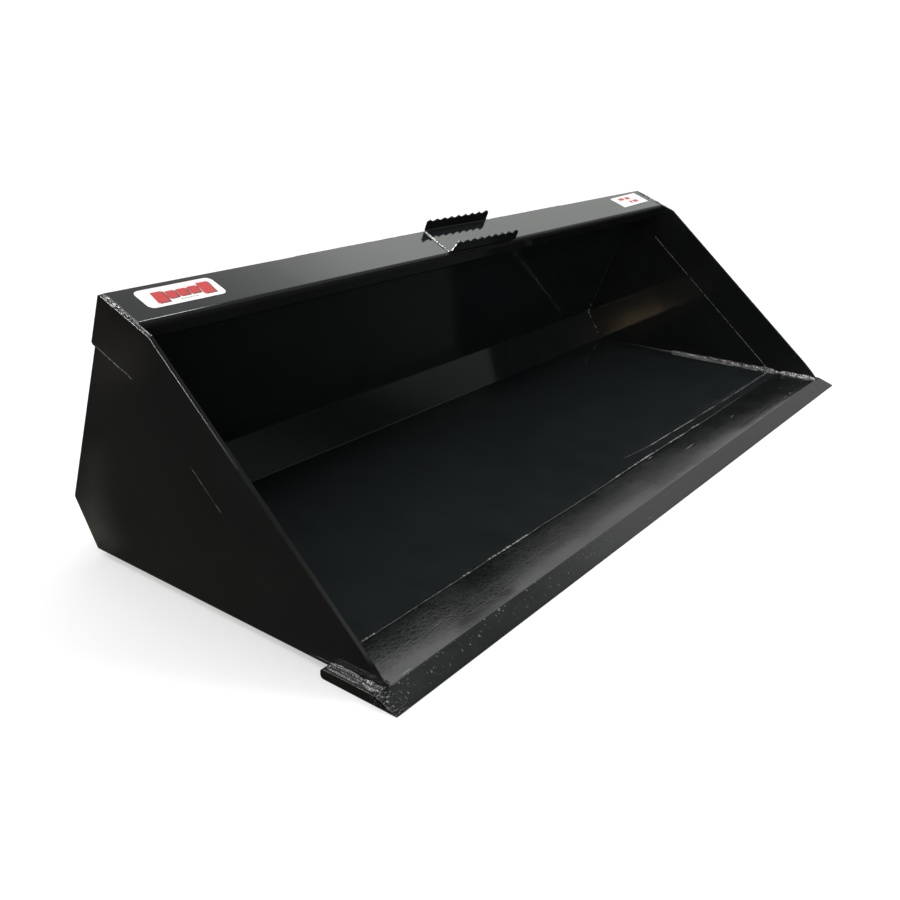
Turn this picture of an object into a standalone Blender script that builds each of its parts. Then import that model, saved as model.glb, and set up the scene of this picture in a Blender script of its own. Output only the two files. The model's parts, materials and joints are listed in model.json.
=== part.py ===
"""Skid steer bucket: welded steel loader bucket with a quick-attach receiver on its back.

World frame, metres: +X to the bucket's right seen from behind the cutting edge looking in,
+Y to the rear, +Z up. Every length below is in millimetres until it is scaled by MM.
The side profile is drawn in (y, z) with y measured from the tip of the cutting edge and z
from the underside of the cutting edge. Parts on the leaning back are drawn in (n, v):
v runs up the back sheet from its lower fold and n stands off its outer face, to the rear.
"""
import math

import bmesh
import bpy
from mathutils import Euler, Vector

MM = 0.001
GAP = 0.3                     # clearance left between pieces that touch

# overall
PLATE_SPAN = 2134.0           # outer face to outer face of the side plates
SIDE_T = 9.525                # side plates
SHEET_T = 6.35                # floor, back and beam sheet
BACK_LEAN = math.radians(21.56)
FOLD_R = 9.0                  # mid-surface radius of the folded sheet

# cutting edge bar
BAR_LENGTH = 2176.0
BAR_DEPTH = 168.0
BAR_T = 19.05
BAR_BEVEL = 45.0              # length of the sloped nose
BAR_TIP_T = 2.5
BAR_EDGE_R = 7.0              # rolled rear edge of the bar

# side profile
HEEL = (834.8, 12.7)          # floor underside meets the heel
BACK_FOOT = (900.0, 113.1)    # heel meets the back sheet, origin of (n, v)
CORNER_R = 6.0

# side cutter with its head
HEAD_TOP = 482.0
HEAD_REAR = 12.2
HEAD_FRONT = -139.8
HEAD_FOOT = 375.0
CUTTER_WIDTH = 107.0
CUTTER_ANGLE = math.radians(41.4)
NOSE_START_Y = 95.0
NOSE_R = 470.0

# top beam
BEAM_TOP = 481.8
BEAM_REAR = 12.0
BEAM_FRONT = -103.0
BEAM_LIP_FOOT = 441.0
BEAM_RETURN = (-8.2, 400.0)
REAR_BAR_FOOT = 375.0

# serrated step
STEP_WIDTH = 116.0
STEP_HEIGHT = 32.5
STEP_T = 3.2
STEP_X = 13.0
STEP_N = -45.5
STEP_TURN = math.radians(-1.0)
STEP_TEETH = 9
STEP_FRONT = (-147.5, -125.0, 30.6, 132.0)   # left end, first tooth, pitch and right end
STEP_REAR = (-125.5, -115.5, 29.9, 137.0)    # of the two flanges, along x from STEP_X
STEP_TOE = 7.5                # height of the front flange where its slanting end starts
TOOTH_DEPTH = 6.0
TOOTH_SLICES = 6
STEP_CORNER = 7.0             # how far the end corners are rounded down

# labels: centre x, centre n, length, height, corner radius, turn
LABEL_T = 0.4
LABEL_LEFT = (-914.0, -34.0, 184.0, 63.0, 14.0, 0.0)
LABEL_RIGHT = (931.0, -32.5, 180.0, 60.0, 2.5, math.radians(2.4))

# quick-attach receiver
MOUNT_WIDTH = 1150.0
MOUNT_PLATE_T = 11.7
HOOK_ROOT = 478.0
HOOK_REACH = 50.0
HOOK_LAND = 2.0               # square step at the root of the hook's underside
RECEIVER_T = 12.7
LIP_ROOT = 10.0
LIP_REACH = 82.0
LIP_DROP = math.radians(30.0)
SLOT_X = 470.0
SLOT_SIZE = (70.0, 38.0)
SLOT_OUT = 41.0               # slot centre, measured along the lip
SLOT_R = 4.0
GUSSET_T = 9.5
GUSSET_X = (-552.0, -330.0, 330.0, 552.0)
GUSSET_HEEL = 85.0            # foot of a gusset, measured down the heel

# wear strips under the floor
STRIP_X = (-810.0, -270.0, 270.0, 810.0)
STRIP_WIDTH = 76.0
STRIP_Y = (205.0, 765.0)
STRIP_RAMP = 9.0


def back(n, v):
    """(n, v) on the leaning back to (y, z) in the side profile."""
    c, s = math.cos(BACK_LEAN), math.sin(BACK_LEAN)
    return (BACK_FOOT[0] + n * c - v * s, BACK_FOOT[1] + n * s + v * c)


def arc(centre, radius, start, end, slices):
    """Points on an arc, both ends included, angles in radians."""
    pts = []
    for i in range(slices + 1):
        a = start + (end - start) * i / slices
        pts.append((centre[0] + radius * math.cos(a), centre[1] + radius * math.sin(a)))
    return pts


def fillet(prev, here, after, radius, slices):
    """Replaces the corner at here by an arc of the given radius."""
    p, h, a = Vector(prev), Vector(here), Vector(after)
    u, w = (p - h).normalized(), (a - h).normalized()
    half = u.angle(w) / 2.0
    reach = radius / math.tan(half)
    centre = h + (u + w).normalized() * (radius / math.sin(half))
    first, last = h + u * reach, h + w * reach
    a0 = math.atan2(first.y - centre.y, first.x - centre.x)
    a1 = math.atan2(last.y - centre.y, last.x - centre.x)
    turn = (a1 - a0 + math.pi) % (2.0 * math.pi) - math.pi
    return arc(centre, radius, a0, a0 + turn, slices)


def rounded(corners, slices=5):
    """Closed outline from (point, radius) pairs."""
    pts = []
    count = len(corners)
    for i, (here, radius) in enumerate(corners):
        if radius <= 0.0:
            pts.append(tuple(here))
            continue
        prev = corners[i - 1][0]
        after = corners[(i + 1) % count][0]
        pts.extend(fillet(prev, here, after, radius, slices))
    return pts


def folded(mid, thickness, radius, slices=6):
    """Closed outline of a sheet folded along the mid-surface polyline."""
    line = [tuple(mid[0])]
    for i in range(1, len(mid) - 1):
        line.extend(fillet(mid[i - 1], mid[i], mid[i + 1], radius, slices))
    line.append(tuple(mid[-1]))
    one, other = [], []
    for i, here in enumerate(line):
        before = Vector(line[max(i - 1, 0)])
        after = Vector(line[min(i + 1, len(line) - 1)])
        along = (after - before).normalized()
        normal = Vector((-along.y, along.x)) * (thickness / 2.0)
        one.append(tuple(Vector(here) + normal))
        other.append(tuple(Vector(here) - normal))
    return one + other[::-1]


def paint(name, colour, roughness, metallic):
    """Principled material in one colour."""
    mat = bpy.data.materials.new(name)
    mat.use_nodes = True
    shader = mat.node_tree.nodes["Principled BSDF"]
    shader.inputs["Base Color"].default_value = (*colour, 1.0)
    shader.inputs["Roughness"].default_value = roughness
    shader.inputs["Metallic"].default_value = metallic
    mat.diffuse_color = (*colour, 1.0)
    return mat


def place(name, bm, mat, location, turn=0.0):
    """Turns a bmesh in millimetres into a named object in metres."""
    bmesh.ops.scale(bm, vec=(MM, MM, MM), verts=bm.verts)
    bmesh.ops.triangulate(bm, faces=bm.faces, ngon_method="EAR_CLIP")
    bmesh.ops.recalc_face_normals(bm, faces=bm.faces)
    mesh = bpy.data.meshes.new(name)
    bm.to_mesh(mesh)
    bm.free()
    mesh.materials.append(mat)
    obj = bpy.data.objects.new(name, mesh)
    obj.location = Vector(location) * MM
    obj.rotation_euler = Euler((turn, 0.0, 0.0))
    bpy.context.scene.collection.objects.link(obj)
    return obj


def prism_mesh(outline, low, high, axis):
    """Outline swept from low to high along x (outline in y, z) or z (outline in x, y)."""
    bm = bmesh.new()

    def point(a, b, h):
        return (h, a, b) if axis == "x" else (a, b, h)

    near = [bm.verts.new(point(a, b, low)) for a, b in outline]
    far = [bm.verts.new(point(a, b, high)) for a, b in outline]
    bm.faces.new(near[::-1])
    bm.faces.new(far)
    count = len(outline)
    for i in range(count):
        j = (i + 1) % count
        bm.faces.new((near[i], near[j], far[j], far[i]))
    return bm


def plate(name, outline, centre_x, width, mat, leaning=False):
    """Flat or folded piece: outline swept along x, about centre_x."""
    bm = prism_mesh(outline, -width / 2.0, width / 2.0, "x")
    if leaning:
        spot = (centre_x, BACK_FOOT[0] + Y_SHIFT, BACK_FOOT[1])
        return place(name, bm, mat, spot, BACK_LEAN)
    return place(name, bm, mat, (centre_x, Y_SHIFT, 0.0))


def front_line(y):
    """Height of the straight front edge of the side cutter at y."""
    corner = back(HEAD_FRONT, HEAD_TOP)
    return corner[1] - (corner[0] - y) * math.tan(CUTTER_ANGLE)


def seam_points(offset):
    """Bend and foot of the seam between cutter and side sheet, moved back by offset."""
    corner = Vector(back(HEAD_FRONT, HEAD_TOP))
    along = Vector((math.cos(CUTTER_ANGLE), math.sin(CUTTER_ANGLE)))
    inward = Vector((along.y, -along.x))
    start = corner + inward * (CUTTER_WIDTH + offset)
    v = HEAD_FOOT - offset
    lean = Vector((math.cos(BACK_LEAN), math.sin(BACK_LEAN)))
    origin = Vector(back(0.0, v))
    cross = along.x * lean.y - along.y * lean.x
    gap = origin - start
    reach = (gap.x * lean.y - gap.y * lean.x) / cross
    bend = start + along * reach
    foot_z = BAR_T + GAP / 2.0
    foot = start + along * ((foot_z - start.y) / along.y)
    return tuple(bend), tuple(foot)


def nose_points():
    """Curved lower end of the cutter's front edge, from the straight part down to the bar."""
    start = Vector((NOSE_START_Y, front_line(NOSE_START_Y)))
    normal = Vector((math.sin(CUTTER_ANGLE), -math.cos(CUTTER_ANGLE)))
    centre = start + normal * NOSE_R
    foot_z = BAR_T + GAP
    first = math.atan2(start.y - centre.y, start.x - centre.x)
    last = math.pi - math.asin((foot_z - centre.y) / NOSE_R)
    return arc(centre, NOSE_R, first, last, 6)


def cutter_outline():
    bend, foot = seam_points(-GAP / 2.0)
    nose = nose_points()
    corners = [
        (back(HEAD_REAR, HEAD_TOP), 4.0),
        (back(HEAD_FRONT, HEAD_TOP), 4.0),
    ]
    corners += [(p, 0.0) for p in nose]
    corners += [
        ((foot[0], BAR_T + GAP), 0.0),
        (bend, 0.0),
        (back(HEAD_REAR, HEAD_FOOT), 8.0),
    ]
    return rounded(corners)


def side_sheet_outline():
    bend, foot = seam_points(GAP / 2.0)
    floor_front = BAR_DEPTH + GAP
    corners = [
        ((floor_front, HEEL[1]), 0.0),
        (HEEL, CORNER_R),
        (BACK_FOOT, CORNER_R),
        (back(0.0, HEAD_FOOT - GAP / 2.0), 0.0),
        (bend, 0.0),
        ((foot[0], BAR_T), 0.0),
        ((floor_front, BAR_T), 0.0),
    ]
    return rounded(corners)


def shell_outline():
    """Floor, heel and back folded from one sheet."""
    half = SHEET_T / 2.0
    heel_angle = math.atan2(BACK_FOOT[1] - HEEL[1], BACK_FOOT[0] - HEEL[0])
    back_angle = math.pi / 2.0 + BACK_LEAN
    turn_low = heel_angle / 2.0
    turn_high = (back_angle - heel_angle) / 2.0
    low = (HEEL[0] - half * math.tan(turn_low), HEEL[1] + half)
    rise = Vector((math.cos(heel_angle), math.sin(heel_angle)))
    inward = Vector((-rise.y, rise.x))
    high = Vector(BACK_FOOT) + inward * half - rise * (half * math.tan(turn_high))
    top = back(-half, BEAM_TOP - SHEET_T - GAP)
    mid = [(BAR_DEPTH + GAP, HEEL[1] + half), low, tuple(high), top]
    return folded(mid, SHEET_T, FOLD_R)


def beam_outline():
    """Closed top beam: top face, front lip and return, in (n, v)."""
    half = SHEET_T / 2.0
    mid = [
        (BEAM_REAR, BEAM_TOP - half),
        (BEAM_FRONT + half, BEAM_TOP - half),
        (BEAM_FRONT + half, BEAM_LIP_FOOT + half),
        BEAM_RETURN,
    ]
    return folded(mid, SHEET_T, FOLD_R)


def bar_outline():
    """Flat bar with a sloped nose and a rolled rear edge, in (y, z)."""
    return rounded([
        ((0.0, 0.0), 0.0),
        ((BAR_DEPTH, 0.0), BAR_EDGE_R),
        ((BAR_DEPTH, BAR_T), BAR_EDGE_R),
        ((BAR_BEVEL, BAR_T), 0.0),
        ((0.0, BAR_TIP_T), 0.0),
    ])


def hook_outline():
    """Upper hook of the receiver, leaning out and down at 45 degrees, in (n, v)."""
    face = HEAD_REAR + 0.1
    s = math.sqrt(0.5)
    tip = (face + HOOK_REACH * s, HOOK_ROOT - HOOK_REACH * s)
    under = (tip[0] - RECEIVER_T * s, tip[1] - RECEIVER_T * s)
    land = HOOK_ROOT - RECEIVER_T / s - HOOK_LAND
    return [(face, HOOK_ROOT), tip, under, (face + HOOK_LAND, land), (face, land)]


def lip_outline():
    """Lower lip of the receiver with its root under the face plate, in (n, v)."""
    face = HEAD_REAR + 0.1
    c, s = math.cos(LIP_DROP), math.sin(LIP_DROP)
    tip = (face + LIP_REACH * c, LIP_ROOT - LIP_REACH * s)
    under = (tip[0] - RECEIVER_T * s, tip[1] - RECEIVER_T * c)
    root = LIP_ROOT - RECEIVER_T / c
    return [(GAP, LIP_ROOT), (face, LIP_ROOT), tip, under, (face, root), (GAP, root)]


def lip_point(out, depth):
    """(n, v) of a point out along the lip and depth below its upper face."""
    c, s = math.cos(LIP_DROP), math.sin(LIP_DROP)
    face = HEAD_REAR + 0.1
    return (face + out * c - depth * s, LIP_ROOT - out * s - depth * c)


REAR_MOST = back(*lip_point(LIP_REACH, 0.0))[0]
Y_SHIFT = -REAR_MOST / 2.0    # puts the origin under the middle of the part


def gusset_outline():
    """Web between the lip's underside and the heel, in (y, z)."""
    down = Vector((HEEL[0] - BACK_FOOT[0], HEEL[1] - BACK_FOOT[1])).normalized()
    outward = Vector((-down.y, down.x))
    clear = Vector(BACK_FOOT) + outward * GAP
    near = clear + down * 14.0
    foot = clear + down * GUSSET_HEEL
    root = lip_point(8.0, RECEIVER_T + GAP)
    end = lip_point(66.0, RECEIVER_T + GAP)
    inner = (root[0], root[1] - 4.0)
    return [tuple(near), back(*inner), back(*root), back(*end), tuple(foot)]


def ear_outline():
    """Full-height ear beside the receiver, in (n, v)."""
    out = HEAD_REAR + 0.1
    rim = REAR_BAR_FOOT - GAP
    return [
        (out, 468.0), (20.0, 468.0), (50.0, 442.0), (50.0, 428.0), (33.0, 404.0),
        (33.0, 64.0), (60.0, 12.0), (78.0, -20.0), (72.0, -36.0), (16.0, -12.0),
        (GAP, 4.0), (GAP, rim), (out, rim),
    ]


def strip_outline():
    """Wear strip under the floor with ramped ends, in (y, z)."""
    top = HEEL[1] - GAP
    low, high = STRIP_Y
    return [(low, top), (low + STRIP_RAMP, 0.0), (high - STRIP_RAMP, 0.0), (high, top)]


def slotted_lip(mat):
    """Lower lip with the two latch-pin slots cut through it."""
    lip = plate("mount_lower_lip", lip_outline(), 0.0, MOUNT_WIDTH, mat, leaning=True)
    for side in (-1.0, 1.0):
        half_x, half_y = SLOT_SIZE[0] / 2.0, SLOT_SIZE[1] / 2.0
        outline = rounded([
            ((-half_x, -half_y), SLOT_R),
            ((half_x, -half_y), SLOT_R),
            ((half_x, half_y), SLOT_R),
            ((-half_x, half_y), SLOT_R),
        ], slices=3)
        bm = prism_mesh(outline, -2.0 * RECEIVER_T, 2.0 * RECEIVER_T, "z")
        n, v = lip_point(SLOT_OUT, RECEIVER_T / 2.0)
        y, z = back(n, v)
        name = "slot_cutter_left" if side < 0 else "slot_cutter_right"
        spot = (side * SLOT_X, y + Y_SHIFT, z)
        cutter = place(name, bm, mat, spot, BACK_LEAN - LIP_DROP)
        cutter.hide_render = True
        cutter.display_type = "WIRE"
        cut = lip.modifiers.new(name, "BOOLEAN")
        cut.operation = "DIFFERENCE"
        cut.solver = "EXACT"
        cut.object = cutter
    return lip


def flange_stations(spec):
    """(x, height) along one serrated flange, from its left end to its right end."""
    left, first, pitch, right = spec
    front = spec is STEP_FRONT
    low = STEP_TOE if front else STEP_HEIGHT - STEP_CORNER
    made = []
    for k in range(4):
        f = k / 4.0
        made.append((left + (first - left) * f, low + (STEP_HEIGHT - low) * (1.0 - (1.0 - f) ** 1.6)))
    slices = (STEP_TEETH - 1) * TOOTH_SLICES
    for k in range(slices + 1):
        phase = (k % TOOTH_SLICES) / TOOTH_SLICES
        rim = STEP_HEIGHT - TOOTH_DEPTH * math.sin(math.pi * phase)
        made.append((first + pitch * k / TOOTH_SLICES, rim))
    last = made[-1][0]
    for f in (0.55, 1.0):
        made.append((last + (right - last) * f, STEP_HEIGHT - STEP_CORNER * f ** 3))
    return made


def step_ring(front, rear):
    """Cross-section of the step channel between (x, height) on its two flanges."""
    half, t = STEP_WIDTH / 2.0, STEP_T
    outer = arc((half - 6.0, 6.0), 6.0, -math.pi / 2.0, 0.0, 4)
    inner = arc((half - 6.0, 6.0), 6.0 - t, 0.0, -math.pi / 2.0, 4)

    def side(rim):
        return outer + [(half, rim), (half - t, rim)] + inner

    ring = []
    for a, b in side(rear[1]) + [(-a, b) for a, b in side(front[1])[::-1]]:
        across = (a + half) / STEP_WIDTH
        ring.append((front[0] + (rear[0] - front[0]) * across, a, b))
    return ring


def step(mat):
    """Serrated channel welded on the beam as a boarding step."""
    bm = bmesh.new()
    rings = []
    for front, rear in zip(flange_stations(STEP_FRONT), flange_stations(STEP_REAR)):
        rings.append([bm.verts.new(p) for p in step_ring(front, rear)])
    count = len(rings[0])
    for near, far in zip(rings, rings[1:]):
        for i in range(count):
            j = (i + 1) % count
            bm.faces.new((near[i], near[j], far[j], far[i]))
    bm.faces.new(rings[0][::-1])
    bm.faces.new(rings[-1])
    y, z = back(STEP_N, BEAM_TOP + GAP)
    obj = place("step_tread", bm, mat, (STEP_X, y + Y_SHIFT, z))
    lean = Euler((BACK_LEAN, 0.0, 0.0)).to_matrix()
    turn = Euler((0.0, 0.0, STEP_TURN)).to_matrix()
    obj.rotation_euler = (lean @ turn).to_euler()
    return obj


def label(name, spec, mat):
    x, n, length, height, radius, turn = spec
    a, b = length / 2.0, height / 2.0
    corners = [((-a, -b), radius), ((a, -b), radius), ((a, b), radius), ((-a, b), radius)]
    bm = prism_mesh(rounded(corners), 0.0, LABEL_T, "z")
    y, z = back(n, BEAM_TOP + GAP)
    obj = place(name, bm, mat, (x, y + Y_SHIFT, z), BACK_LEAN)
    lean = Euler((BACK_LEAN, 0.0, 0.0)).to_matrix()
    obj.rotation_euler = (lean @ Euler((0.0, 0.0, turn)).to_matrix()).to_euler()
    return obj


def bucket_body(steel):
    inner = PLATE_SPAN - 2.0 * SIDE_T - 2.0 * GAP
    plate("shell", shell_outline(), 0.0, inner, steel)
    plate("top_beam", beam_outline(), 0.0, inner, steel, leaning=True)
    top = BEAM_TOP - SHEET_T - GAP
    rear_bar = [
        (GAP, REAR_BAR_FOOT), (BEAM_REAR, REAR_BAR_FOOT), (BEAM_REAR, top), (GAP, top),
    ]
    plate("beam_rear_bar", rear_bar, 0.0, inner, steel, leaning=True)
    centre = PLATE_SPAN / 2.0 - SIDE_T / 2.0
    for side, word in ((-1.0, "left"), (1.0, "right")):
        plate("side_sheet_" + word, side_sheet_outline(), side * centre, SIDE_T, steel)
        plate("side_cutter_" + word, cutter_outline(), side * centre, SIDE_T, steel)


def receiver(steel):
    low, top = LIP_ROOT + GAP, REAR_BAR_FOOT - GAP
    out = GAP + MOUNT_PLATE_T
    face = [(GAP, low), (out, low), (out, top), (GAP, top)]
    plate("mount_plate", face, 0.0, MOUNT_WIDTH, steel, leaning=True)
    plate("mount_upper_hook", hook_outline(), 0.0, MOUNT_WIDTH, steel, leaning=True)
    slotted_lip(steel)
    centre = MOUNT_WIDTH / 2.0 + GAP + GUSSET_T / 2.0
    plate("mount_ear_left", ear_outline(), -centre, GUSSET_T, steel, leaning=True)
    plate("mount_ear_right", ear_outline(), centre, GUSSET_T, steel, leaning=True)
    for i, x in enumerate(GUSSET_X, start=1):
        plate("lip_gusset_%d" % i, gusset_outline(), x, GUSSET_T, steel)


def main():
    for obj in list(bpy.data.objects):
        bpy.data.objects.remove(obj, do_unlink=True)
    steel = paint("black_gloss_steel", (0.012, 0.013, 0.014), 0.22, 0.0)
    edge = paint("black_edge_steel", (0.018, 0.019, 0.02), 0.35, 0.0)
    vinyl = paint("white_vinyl", (0.85, 0.85, 0.84), 0.3, 0.0)
    bucket_body(steel)
    plate("cutting_edge", bar_outline(), 0.0, BAR_LENGTH, edge)
    receiver(steel)
    step(steel)
    label("label_left", LABEL_LEFT, vinyl)
    label("label_right", LABEL_RIGHT, vinyl)
    for i, x in enumerate(STRIP_X, start=1):
        plate("wear_strip_%d" % i, strip_outline(), x, STRIP_WIDTH, edge)


main()
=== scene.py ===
"""Looks for the skid steer bucket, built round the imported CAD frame.

World frame, metres: +X along the cutting edge, +Y to the rear, +Z up. Side-profile points are
given in millimetres as yz(y, z), with y from the tip of the cutting edge, or as nv(n, v) on the
leaning back, where v runs up the back sheet from its lower fold and n stands off its rear face.
"""

import json
import math
import random

import bmesh
import bpy
from mathutils import Matrix, Vector, noise


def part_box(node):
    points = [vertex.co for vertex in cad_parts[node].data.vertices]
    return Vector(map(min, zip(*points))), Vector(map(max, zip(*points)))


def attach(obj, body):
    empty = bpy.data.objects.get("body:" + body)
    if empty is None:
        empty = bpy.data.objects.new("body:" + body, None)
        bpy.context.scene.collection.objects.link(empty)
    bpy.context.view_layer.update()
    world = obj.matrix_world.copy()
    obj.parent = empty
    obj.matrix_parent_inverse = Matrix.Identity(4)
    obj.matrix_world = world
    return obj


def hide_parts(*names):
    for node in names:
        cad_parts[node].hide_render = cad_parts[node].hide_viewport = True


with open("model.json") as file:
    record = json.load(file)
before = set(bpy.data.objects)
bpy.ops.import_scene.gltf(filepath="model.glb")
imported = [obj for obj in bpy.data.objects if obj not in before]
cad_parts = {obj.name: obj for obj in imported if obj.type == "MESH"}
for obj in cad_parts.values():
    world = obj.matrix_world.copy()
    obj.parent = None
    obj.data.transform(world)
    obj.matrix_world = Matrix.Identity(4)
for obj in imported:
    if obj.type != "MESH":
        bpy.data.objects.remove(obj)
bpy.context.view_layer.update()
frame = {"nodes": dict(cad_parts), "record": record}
NODES = frame["nodes"]

MM = 0.001
PAINT_IOR = 1.52
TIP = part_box("cutting_edge")[0]
FACE_AXIS = next(
    m["axis"] for m in frame["record"]["mounts"] if m["name"] == "quick_attach_face"
)
LEAN = math.atan2(FACE_AXIS[2], FACE_AXIS[1])
OUTWARD = Vector((0.0, math.cos(LEAN), math.sin(LEAN)))      # n, off the back sheet
UPWARD = Vector((0.0, -math.sin(LEAN), math.cos(LEAN)))      # v, up the back sheet
X_AXIS = Vector((1.0, 0.0, 0.0))
BACK_FOOT = (900.0, 113.1)                                   # y, z of the back's lower fold
BEAM_FRONT = -103.0                                          # n of the top beam's front face
REAR_BAR_FOOT = 375.0                                        # v of the rear bar's lower edge
BAR_REAR = 166.5                                             # y of the floor seam on the bar
BAR_TOP = 19.0                                               # z of the bar's upper face
BAR_FOLD = 0.0435                                            # rear end of the bar's nose, metres
BAR_DISH = 0.030                                             # slope of the bump behind it
STEP_X = 0.013                                               # middle of the step, metres
SIDES = ((-1.0, "left"), (1.0, "right"))                     # sign along x, word in names

PLATE_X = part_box("side_sheet_right")[1].x                    # outer face of the side plates
PLATE_T = PLATE_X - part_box("side_sheet_right")[0].x
INNER_X = PLATE_X - PLATE_T
SHELL_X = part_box("shell")[1].x
BAR_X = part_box("cutting_edge")[1].x
MOUNT_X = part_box("mount_plate")[1].x


def yz(y, z, x=0.0):
    """Side-profile point in millimetres, x in metres, to world metres."""
    return Vector((x, TIP.y + y * MM, z * MM))


def nv(n, v, x=0.0):
    """Point on the leaning back in millimetres, x in metres, to world metres."""
    foot = yz(*BACK_FOOT, x)
    return foot + OUTWARD * (n * MM) + UPWARD * (v * MM)


# ---------------------------------------------------------------- materials

def new_material(name):
    """Material with its node tree and its Principled shader."""
    mat = bpy.data.materials.new(name)
    mat.use_nodes = True
    tree = mat.node_tree
    return mat, tree, tree.nodes["Principled BSDF"]


def ramp(tree, source, stops):
    """Colour ramp node fed by a socket; stops are (position, colour or grey)."""
    made = tree.nodes.new("ShaderNodeValToRGB")
    band = made.color_ramp
    while len(band.elements) < len(stops):
        band.elements.new(0.5)
    for element, (at, value) in zip(band.elements, stops):
        element.position = at
        rgb = value if isinstance(value, tuple) else (value, value, value)
        element.color = (*rgb, 1.0)
    tree.links.new(source, made.inputs["Fac"])
    return made.outputs["Color"]


def coords(tree, stretch=(1.0, 1.0, 1.0), turn=(0.0, 0.0, 0.0)):
    """Object coordinates, stretched along the axes and turned."""
    where = tree.nodes.new("ShaderNodeTexCoord")
    mapping = tree.nodes.new("ShaderNodeMapping")
    mapping.inputs["Scale"].default_value = stretch
    mapping.inputs["Rotation"].default_value = turn
    tree.links.new(where.outputs["Object"], mapping.inputs["Vector"])
    return mapping.outputs["Vector"]


def noise_of(tree, vector, scale, detail=2.0, roughness=0.5, distortion=0.0):
    made = tree.nodes.new("ShaderNodeTexNoise")
    made.inputs["Scale"].default_value = scale
    made.inputs["Detail"].default_value = detail
    made.inputs["Roughness"].default_value = roughness
    made.inputs["Distortion"].default_value = distortion
    tree.links.new(vector, made.inputs["Vector"])
    return made.outputs["Fac"]


def maths(tree, operation, a, b, clamp=False):
    """Math node on two inputs, each a number or a socket."""
    made = tree.nodes.new("ShaderNodeMath")
    made.operation = operation
    made.use_clamp = clamp
    for socket, value in zip(made.inputs, (a, b)):
        if isinstance(value, (int, float)):
            socket.default_value = value
        else:
            tree.links.new(value, socket)
    return made.outputs[0]


def beyond(tree, a, b, slope):
    """0 where a is below b, rising to 1 at the given slope above it."""
    return maths(tree, "MULTIPLY", maths(tree, "SUBTRACT", a, b), slope, clamp=True)


def mix_colour(tree, factor, a, b, blend="MIX"):
    """Colour mix node; each input is a number, a colour or a socket."""
    made = tree.nodes.new("ShaderNodeMix")
    made.data_type = "RGBA"
    made.blend_type = blend
    for socket, value in ((made.inputs[0], factor), (made.inputs[6], a), (made.inputs[7], b)):
        if isinstance(value, tuple):
            socket.default_value = (*value, 1.0)
        elif isinstance(value, (int, float)):
            socket.default_value = value
        else:
            tree.links.new(value, socket)
    return made.outputs[2]


def bump(tree, height, distance, under=None):
    """Normal raised by a 0 to 1 height times a distance in metres, over another normal."""
    made = tree.nodes.new("ShaderNodeBump")
    made.inputs["Distance"].default_value = distance
    tree.links.new(height, made.inputs["Height"])
    if under is not None:
        tree.links.new(under, made.inputs["Normal"])
    return made.outputs["Normal"]


def scratch_mask(tree, turn, stretch, scale, low, high, seed_shift):
    """Sparse thin lines: a noise stretched hard along one direction, cut near its middle."""
    vector = coords(tree, stretch, turn)
    shift = tree.nodes.new("ShaderNodeVectorMath")
    shift.operation = "ADD"
    shift.inputs[1].default_value = (seed_shift, seed_shift * 0.7, 0.0)
    tree.links.new(vector, shift.inputs[0])
    line = noise_of(tree, shift.outputs[0], scale, 2.0, 0.6)
    return ramp(tree, line, [(low, 0.0), (high, 1.0)])


def painted(name, gloss=0.05, spread=0.06, wave=0.0010, peel=0.000012, dust=0.35,
            mottle=0.0, base=(0.0100, 0.0108, 0.0114)):
    """Gloss black paint over sheet steel: slow waves, orange peel, dust and faint rubs.

    gloss and spread set the roughness, wave and peel the depth of the waves and of the orange
    peel in metres, and mottle the depth of scale under the paint.
    """
    mat, tree, shader = new_material(name)
    here = coords(tree)
    broad = noise_of(tree, here, 2.3, 2.0, 0.5, 0.4)
    cloudy = noise_of(tree, here, 9.0, 4.0, 0.6, 0.3)
    fine = noise_of(tree, here, 420.0, 2.0, 0.5)
    specks = noise_of(tree, here, 900.0, 1.0, 0.5)
    speck_mask = ramp(tree, specks, [(0.70, 0.0), (0.78, 1.0)])
    smear = scratch_mask(tree, (0.0, 0.0, 0.5), (6.0, 60.0, 40.0), 1.0, 0.66, 0.80, 3.1)
    tint = mix_colour(tree, ramp(tree, cloudy, [(0.35, 0.0), (0.75, 1.0)]), base,
                      tuple(c * 1.35 for c in base))
    dusty = maths(tree, "MULTIPLY", speck_mask, dust * 0.12)
    tint = mix_colour(tree, dusty, tint, (0.16, 0.155, 0.145))
    tint = mix_colour(tree, maths(tree, "MULTIPLY", smear, dust * 0.015), tint,
                      (0.20, 0.20, 0.19))
    tree.links.new(tint, shader.inputs["Base Color"])
    rough = maths(tree, "MULTIPLY_ADD", cloudy, spread)
    rough.node.inputs[2].default_value = gloss
    rough = maths(tree, "ADD", rough, maths(tree, "MULTIPLY", smear, 0.04), clamp=True)
    tree.links.new(rough, shader.inputs["Roughness"])
    normal = bump(tree, broad, wave)
    if mottle > 0.0:
        scale = noise_of(tree, coords(tree, (1.0, 1.6, 1.0)), 95.0, 3.0, 0.62, 0.6)
        flake = ramp(tree, scale, [(0.42, 0.0), (0.62, 1.0)])
        normal = bump(tree, flake, mottle, under=normal)
    normal = bump(tree, fine, peel, under=normal)
    tree.links.new(normal, shader.inputs["Normal"])
    shader.inputs["IOR"].default_value = PAINT_IOR
    return mat


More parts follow.
